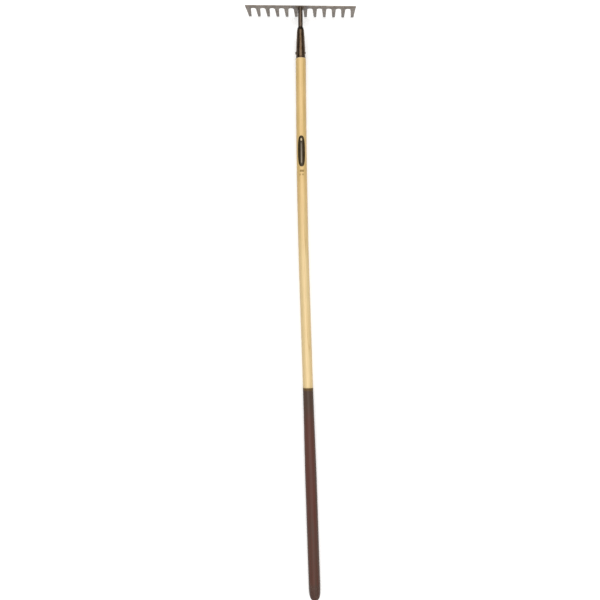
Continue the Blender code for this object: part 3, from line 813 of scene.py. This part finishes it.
def pole_mesh():
    """The pole from its shoulder at the ferrule to its end inside the grip, barely off round."""
    inner = GRIP_WALL + GAP
    start = [(0, RIM_AT - 0.020), (0.0104, RIM_AT - 0.020), (0.0106, RIM_AT + GAP),
             (0.0130, RIM_AT + GAP), (0.0135, RIM_AT + 0.0009),
             (0.0138, RIM_AT + POLE_SHOULDER - 0.0006), (POLE_RADIUS, RIM_AT + POLE_SHOULDER)]
    bare = [(pole_radius(GRIP_AT), GRIP_AT - GAP), (grip_radius(GRIP_AT) - inner, GRIP_AT - GAP)]
    levels = [GRIP_AT + GRIP_RAMP * i / 6 for i in range(1, 7)]
    hidden = [(grip_radius(place) - inner, place) for place in levels]
    end = dome(GRIP_END_RADIUS - inner, GRIP_DOME - inner, DOME_AT, 10, GRIP_DOME_POWER)[::-1]

    def relief(place, angle):
        if not RIM_AT < place < GRIP_AT - 0.001:
            return 0.0
        ease = min(1.0, (place - RIM_AT) / 0.01, (GRIP_AT - place) / 0.01)
        return ease * (0.00013 * unevenness(place, angle, 0.8, 9, 2.0) - 0.00006)
    profile = straight(start + bare + hidden + end, 0.0035)
    return bend(turned("shaft", profile, even_angles(POLE_SIDES), relief))


def grip_mesh():
    """The closed sleeve: rounded lip, gentle swell, domed end, faint long ridges under the skin."""
    start = GRIP_AT + GRIP_LIP
    places = [start + (DOME_AT - start) * i / GRIP_LEVELS for i in range(GRIP_LEVELS + 1)]
    lip = [(GRIP_RADIUS - 0.0010, GRIP_AT + 0.0001), (GRIP_RADIUS - 0.0005, GRIP_AT),
           (GRIP_RADIUS - 0.0001, GRIP_AT + 0.0002), (GRIP_RADIUS, GRIP_AT + 0.0007)]
    outside = lip + [(grip_radius(place), place) for place in places]
    outside += dome(GRIP_END_RADIUS, GRIP_DOME, DOME_AT, 30, GRIP_DOME_POWER)[-2::-1]
    bore = [(grip_radius(place) - GRIP_WALL, place) for place in places[::-20]]
    end = dome(GRIP_END_RADIUS - GRIP_WALL, GRIP_DOME - GRIP_WALL, DOME_AT, 12, GRIP_DOME_POWER)
    inside = end[:-1] + bore

    def relief(place, angle):
        ease = min(1.0, (place - GRIP_AT) / 0.02, (END_AT - place) / GRIP_DOME)
        ridges = unevenness(place, angle, 5.5, 2.2, 3.0) + 0.6 * unevenness(place, angle, 1.2, 14, 7.0)
        return ease * 0.00010 * (ridges - 1.0)
    return bend(turned("grip", inside + outside, even_angles(FINE_SIDES), relief))


def label_mesh():
    """The oval film wrapped on the pole's upper side, its edge rounded down."""
    work = bmesh.new()
    shares = [i / 14 for i in range(1, 13)] + [0.92, 0.96, 0.985, 1.0]

    def blunt(value):
        return copysign(abs(value) ** (2 / LABEL_POWER), value)

    def point(share, angle, lift):
        x, along = share * LABEL_WIDTH / 2 * blunt(cos(angle)), share * LABEL_LENGTH / 2 * blunt(sin(angle))
        radius = pole_radius(LABEL_AT + along)
        turn = -pi / 2 + x / radius
        reach = radius + lift
        return reach * cos(turn), reach * sin(turn), LABEL_AT + along

    def top(share):
        return LABEL_THICKNESS * (1 - 0.7 * max(0.0, (share - 0.90) / 0.10) ** 2)

    angles = even_angles(FINE_SIDES)
    middle = work.verts.new(point(0, 0, LABEL_THICKNESS))
    upper = [[work.verts.new(point(s, a, top(s))) for a in angles] for s in shares]
    lower = [[work.verts.new(point(s, a, -LABEL_ROOT)) for a in angles] for s in (1.0, 0.66, 0.33)]
    below = work.verts.new(point(0, 0, -LABEL_ROOT))
    loops = [[middle], *upper, *lower, [below]]
    for first, second in zip(loops, loops[1:]):
        join_loops(work, first, second)
    return bend(finished_mesh(work, "label"))


def build_rake():
    """Every visible piece, each in place of its CAD node."""
    square = Matrix.Identity(4)
    add_piece("rake_head_forged", head_mesh(), forged_steel(), "rake_head", square)
    add_piece("neck_rod", neck_mesh(), drawn_steel(), "neck")
    bead = Matrix.Translation((0, FACE_Y, NECK_Z))
    add_piece("weld_bead", weld_mesh(), weld_steel(), "neck_weld", bead)
    add_piece("ferrule_tube", ferrule_mesh(), socket_steel(), "ferrule")
    across = POLE @ Matrix.Translation((0, 0, RIVET_AT)) @ Matrix.Rotation(pi / 2, 4, "Y")
    add_piece("rivet", rivet_mesh(), rivet_steel(), "ferrule_rivet", across)
    add_piece("ash_pole", pole_mesh(), ash_wood(), "shaft")
    add_piece("grip_sleeve", grip_mesh(), stained_grip(), "grip")
    add_piece("oval_label", label_mesh(), label_film(), "label")


# Stage.

def build_camera():
    """The camera, nearly overhead, with the head at the top of the view."""
    data = bpy.data.cameras.new("camera")
    data.lens = CAMERA_LENS
    camera = bpy.data.objects.new("camera", data)
    camera.location = CAMERA_PLACE
    camera.rotation_euler = [radians(turn) for turn in CAMERA_TURN]
    bpy.context.scene.collection.objects.link(camera)
    bpy.context.scene.camera = camera


def build_floor():
    """A plain pale floor, and the same pale colour behind it."""
    work = bmesh.new()
    bmesh.ops.create_circle(work, cap_ends=True, segments=64, radius=FLOOR_RADIUS)
    mesh = finished_mesh(work, "floor")
    floor = bpy.data.objects.new("floor", mesh)
    floor.location.z = cad_box[0].z - FLOOR_DROP
    bpy.context.scene.collection.objects.link(floor)
    f = Finish("floor", Specular_IOR_Level=0.0, Emission_Color=(1, 1, 1, 1), Emission_Strength=FLOOR_GLOW)
    shade = f.tint(f.noise((3, 3, 3), (1, 1, 1), 2.0), (0.84, 0.84, 0.84), (0.86, 0.86, 0.86))
    mesh.materials.append(f.done(shade, 0.9, f.bump(f.noise((400, 400, 400)), 0.00005, 0.1)))


def build_light():
    """One broad soft light overhead, and an even sky that looks pale to the camera."""
    key = bpy.data.lights.new("key", "SUN")
    key.energy = KEY_ENERGY
    key.angle = radians(KEY_ANGLE)
    key.color = KEY_COLOUR
    lamp = bpy.data.objects.new("key", key)
    lamp.rotation_euler = [radians(turn) for turn in KEY_TURN]
    bpy.context.scene.collection.objects.link(lamp)
    world = bpy.data.worlds.new("sky")
    world.use_nodes = True
    bpy.context.scene.world = world
    nodes, links = world.node_tree.nodes, world.node_tree.links
    seen = nodes.new("ShaderNodeLightPath")
    mix = nodes.new("ShaderNodeMixShader")
    sky = nodes["Background"]
    backdrop = nodes.new("ShaderNodeBackground")
    sky.inputs["Color"].default_value = (*SKY, 1)
    backdrop.inputs["Color"].default_value = (*BACKDROP, 1)
    links.new(seen.outputs["Is Camera Ray"], mix.inputs["Fac"])
    links.new(sky.outputs[0], mix.inputs[1])
    links.new(backdrop.outputs[0], mix.inputs[2])
    links.new(mix.outputs[0], nodes["World Output"].inputs["Surface"])
    bpy.context.scene.view_settings.view_transform = "Standard"


build_camera()
build_light()
build_floor()
build_rake()
